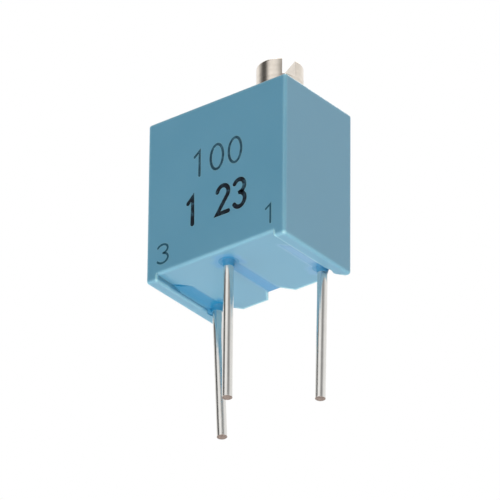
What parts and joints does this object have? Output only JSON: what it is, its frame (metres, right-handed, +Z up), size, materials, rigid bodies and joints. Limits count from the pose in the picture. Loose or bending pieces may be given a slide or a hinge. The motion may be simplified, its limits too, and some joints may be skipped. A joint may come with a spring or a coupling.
{
  "type": "trimmer potentiometer",
  "caption": "Square sealed multi-turn trimmer potentiometer with a slotted top screw, worm-driven wiper and wire terminals in a triangle.",
  "frame": {"origin": "axis of terminal 2 at the level of the two rails that stand on the board", "axes": "+X right across the marked face, +Y from the marked face into the body, +Z up towards the adjusting screw's head"},
  "size_m": [0.0066, 0.0042, 0.0138],
  "materials": {
    "case_plastic": "satin moulded blue thermoplastic",
    "screw_metal": "nickel-plated turned brass",
    "ring_rubber": "matt black silicone rubber",
    "clip_steel": "stamped stainless strip",
    "rotor_plastic": "natural moulded plastic",
    "wiper_metal": "bright spring alloy",
    "alumina": "fired white ceramic",
    "cermet": "fired dark resistive film",
    "conductor": "fired silver-palladium film",
    "tinned_wire": "hot-tinned copper wire",
    "solder": "dull solder",
    "resin": "poured blue epoxy"
  },
  "bodies": {
    "case": {"housing": "case_plastic", "retaining_clip": "clip_steel", "substrate": "alumina", "resistive_track": "cermet", "collector": "conductor", "electrode_1": "conductor", "electrode_3": "conductor", "terminal_1": "tinned_wire", "terminal_2": "tinned_wire", "terminal_3": "tinned_wire", "solder_1": "solder", "solder_2": "solder", "solder_3": "solder", "sealing_resin": "resin"},
    "screw": {"adjusting_screw": "screw_metal", "o_ring": "ring_rubber"},
    "rotor": {"rotor_gear": "rotor_plastic", "wiper_spring": "wiper_metal"}
  },
  "joints": [
    {"name": "screw_turn", "type": "hinge", "parent": "case", "child": "screw", "pos_m": [0.00208, 0.00042, 0.007], "axis": [0, 0, 1], "range_deg": [-2160, 2160]},
    {"name": "rotor_turn", "type": "hinge", "parent": "case", "child": "rotor", "pos_m": [-0.00059, 0.00042, 0.00371], "axis": [0, 1, 0], "range_deg": [-135, 135]}
  ],
  "couplings": [
    {"joint": "rotor_turn", "follows": "screw_turn", "ratio": 0.0625}
  ]
}
